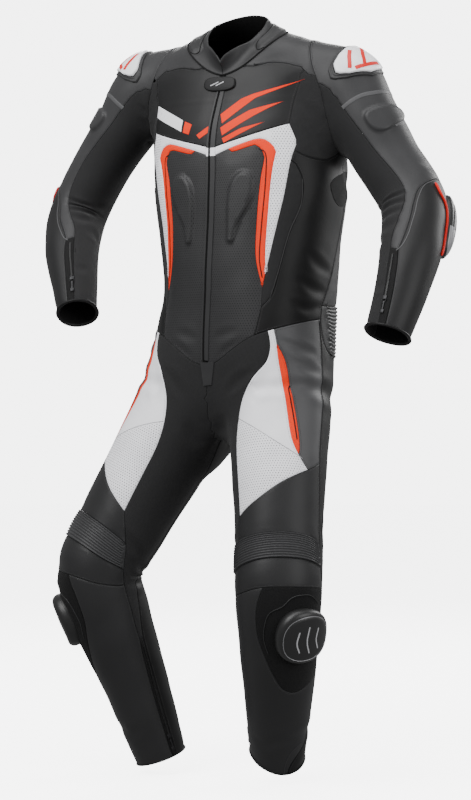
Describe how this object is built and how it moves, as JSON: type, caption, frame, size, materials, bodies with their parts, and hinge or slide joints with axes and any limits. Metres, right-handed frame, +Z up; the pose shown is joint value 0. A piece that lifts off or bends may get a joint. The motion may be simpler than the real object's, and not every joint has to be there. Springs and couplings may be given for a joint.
{
  "type": "motorcycle race suit",
  "caption": "One-piece leather race suit in its worn shape, hollow, with stretch inner limbs, ribbed knees and back, shoulder cups, elbow and knee sliders.",
  "frame": {"origin": "middle of the neck between the shoulders, where the wearer holds the suit up", "axes": "+Z up along the standing wearer, -Y the way the front faces, +X the wearer's left"},
  "size_m": [0.9137, 0.3801, 1.5177],
  "materials": {
    "charcoal_leather": "soft charcoal race leather, lightly shiny",
    "dark_leather": "near-black race leather, lightly shiny",
    "white_leather": "white leather, part of it perforated",
    "orange_leather": "bright orange-red leather",
    "black_stretch": "matt black woven stretch panel",
    "black_grip": "matt black hook-and-loop patch",
    "zip_tape": "black zip tape with closed teeth",
    "white_plastic": "white moulded cup",
    "black_plastic": "black moulded slider",
    "zip_metal": "dark metal pull"
  },
  "bodies": {
    "suit": {"back": "charcoal_leather", "back_ribs": "charcoal_leather", "calf_zip_left": "zip_tape", "calf_zip_right": "zip_tape", "chest_left": "charcoal_leather", "chest_right": "charcoal_leather", "chest_stripe_left": "orange_leather", "chest_stripe_right": "orange_leather", "chevron_left": "white_leather", "chevron_right": "white_leather", "collar": "charcoal_leather", "collar_tab": "charcoal_leather", "cuff_zip_left": "zip_tape", "cuff_zip_right": "zip_tape", "elbow_slider_left": "black_plastic", "elbow_slider_right": "black_plastic", "forearm_left": "charcoal_leather", "forearm_right": "charcoal_leather", "front_left": "charcoal_leather", "front_right": "charcoal_leather", "front_zip": "zip_tape", "hip_left": "charcoal_leather", "hip_right": "charcoal_leather", "knee_grip_left": "black_grip", "knee_grip_right": "black_grip", "knee_ribs_left": "charcoal_leather", "knee_ribs_right": "charcoal_leather", "knee_slider_left": "black_plastic", "knee_slider_right": "black_plastic", "knee_top_left": "charcoal_leather", "knee_top_right": "charcoal_leather", "knee_upper_left": "charcoal_leather", "knee_upper_right": "charcoal_leather", "leg_back_left": "dark_leather", "leg_back_right": "dark_leather", "leg_stretch_left": "black_stretch", "leg_stretch_right": "black_stretch", "shin_left": "dark_leather", "shin_right": "dark_leather", "shoulder_cup_left": "white_plastic", "shoulder_cup_right": "white_plastic", "side_left": "dark_leather", "side_right": "dark_leather", "side_stretch_left": "black_stretch", "side_stretch_right": "black_stretch", "side_strip_left": "black_stretch", "side_strip_right": "black_stretch", "sleeve_stretch_left": "black_stretch", "sleeve_stretch_right": "black_stretch", "sleeve_upper_left": "charcoal_leather", "sleeve_upper_right": "charcoal_leather", "thigh_stripe_left": "orange_leather", "thigh_stripe_right": "orange_leather", "thigh_white_left": "white_leather", "thigh_white_right": "white_leather", "yoke": "charcoal_leather"},
    "cuff_zip_pull_left_body": {"cuff_zip_pull_left": "zip_metal"},
    "cuff_zip_pull_right_body": {"cuff_zip_pull_right": "zip_metal"},
    "calf_zip_pull_left_body": {"calf_zip_pull_left": "zip_metal"},
    "calf_zip_pull_right_body": {"calf_zip_pull_right": "zip_metal"}
  },
  "joints": [
    {"name": "cuff_zip_pull_left_hinge", "type": "hinge", "parent": "suit", "child": "cuff_zip_pull_left_body", "pos_m": [0.36748, -0.14049, -0.53437], "axis": [-0.9956, 0.0812, 0.0458], "range_deg": [0, 150]},
    {"name": "cuff_zip_pull_right_hinge", "type": "hinge", "parent": "suit", "child": "cuff_zip_pull_right_body", "pos_m": [-0.31521, -0.12486, -0.48042], "axis": [-0.9125, -0.4001, -0.0854], "range_deg": [0, 150]},
    {"name": "calf_zip_pull_left_hinge", "type": "hinge", "parent": "suit", "child": "calf_zip_pull_left_body", "pos_m": [0.02306, -0.01213, -1.37943], "axis": [-0.2762, 0.885, 0.3748], "range_deg": [0, 150]},
    {"name": "calf_zip_pull_right_hinge", "type": "hinge", "parent": "suit", "child": "calf_zip_pull_right_body", "pos_m": [-0.14737, -0.01865, -1.40597], "axis": [-0.4508, -0.8347, -0.3164], "range_deg": [0, 150]}
  ]
}
